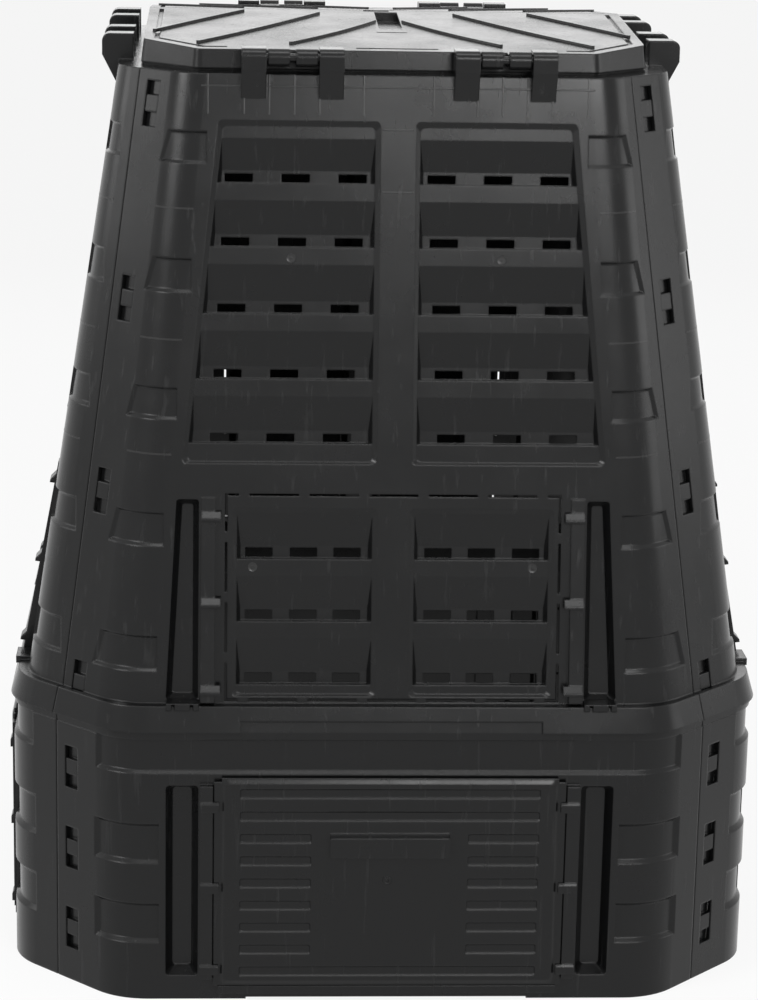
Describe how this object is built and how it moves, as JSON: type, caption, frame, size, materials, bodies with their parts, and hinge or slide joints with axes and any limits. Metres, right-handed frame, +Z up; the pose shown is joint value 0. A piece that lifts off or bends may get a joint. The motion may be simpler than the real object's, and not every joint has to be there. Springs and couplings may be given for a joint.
{
  "type": "compost bin with lid",
  "caption": "Tapered octagonal garden compost bin of interlocking louvred panels, with a two-flap hinged lid and sliding emptying doors.",
  "frame": {"origin": "centre of the footprint, on the ground", "axes": "+Z up, the front with its door and hatch faces -Y, +X is to the right seen from the front"},
  "size_m": [0.825, 0.825, 0.999],
  "materials": {
    "body_plastic": "satin moulded, near black",
    "hinge_pin": "satin moulded, near black"
  },
  "bodies": {
    "bin": {"wall_front": "body_plastic", "wall_right": "body_plastic", "wall_rear": "body_plastic", "wall_left": "body_plastic", "base_front": "body_plastic", "base_right": "body_plastic", "base_rear": "body_plastic", "base_left": "body_plastic", "pin_front_right": "hinge_pin", "pin_front_left": "hinge_pin", "pin_rear_right": "hinge_pin", "pin_rear_left": "hinge_pin"},
    "lid_front": {"lid_front": "body_plastic"},
    "lid_rear": {"lid_rear": "body_plastic"},
    "door_front": {"door_front": "body_plastic"},
    "door_right": {"door_right": "body_plastic"},
    "door_rear": {"door_rear": "body_plastic"},
    "door_left": {"door_left": "body_plastic"}
  },
  "joints": [
    {"name": "lid_front_hinge", "type": "hinge", "parent": "bin", "child": "lid_front", "pos_m": [0, -0.2925, 0.9745], "axis": [1, 0, 0], "range_deg": [0, 115]},
    {"name": "lid_rear_hinge", "type": "hinge", "parent": "bin", "child": "lid_rear", "pos_m": [0, 0.2925, 0.9745], "axis": [-1, 0, 0], "range_deg": [0, 115]},
    {"name": "door_front_slide", "type": "slide", "parent": "bin", "child": "door_front", "axis": [0, 0, 1], "range_m": [0, 0.18]},
    {"name": "door_right_slide", "type": "slide", "parent": "bin", "child": "door_right", "axis": [0, 0, 1], "range_m": [0, 0.18]},
    {"name": "door_rear_slide", "type": "slide", "parent": "bin", "child": "door_rear", "axis": [0, 0, 1], "range_m": [0, 0.18]},
    {"name": "door_left_slide", "type": "slide", "parent": "bin", "child": "door_left", "axis": [0, 0, 1], "range_m": [0, 0.18]}
  ]
}
